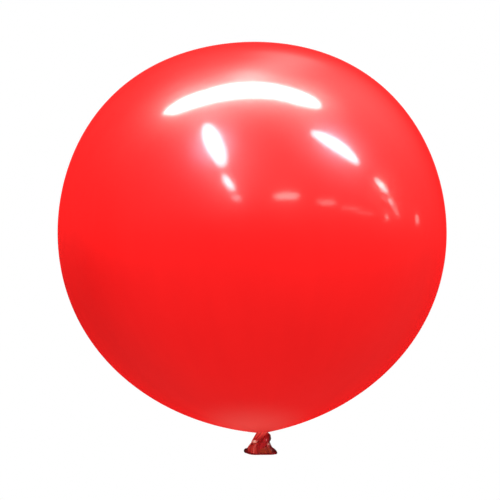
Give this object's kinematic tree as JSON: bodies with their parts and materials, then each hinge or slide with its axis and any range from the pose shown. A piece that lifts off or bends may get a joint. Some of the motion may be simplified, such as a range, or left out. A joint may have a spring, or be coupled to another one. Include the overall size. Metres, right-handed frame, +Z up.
{
  "type": "giant round latex balloon",
  "caption": "Giant round latex balloon in glossy red, inflated and tied off: a thin envelope on a gathered neck, an overhand knot, and a creased tail that ends in a rolled lip.",
  "frame": {"origin": "centre of the envelope's widest circle, where the air's lift acts", "axes": "+Z up from the neck through the crown, -Y towards the side that the picture shows, +X to the picture's right"},
  "size_m": [0.9126, 0.9126, 0.9687],
  "materials": {
    "stretched_latex": "thin stretched latex film, glossy, slightly translucent",
    "slack_latex": "unstretched latex, darker, opaque, satin with fine creases"
  },
  "bodies": {
    "root": {"envelope": "stretched_latex", "neck": "slack_latex", "knot": "slack_latex", "tail": "slack_latex", "lip": "slack_latex"}
  },
  "joints": []
}
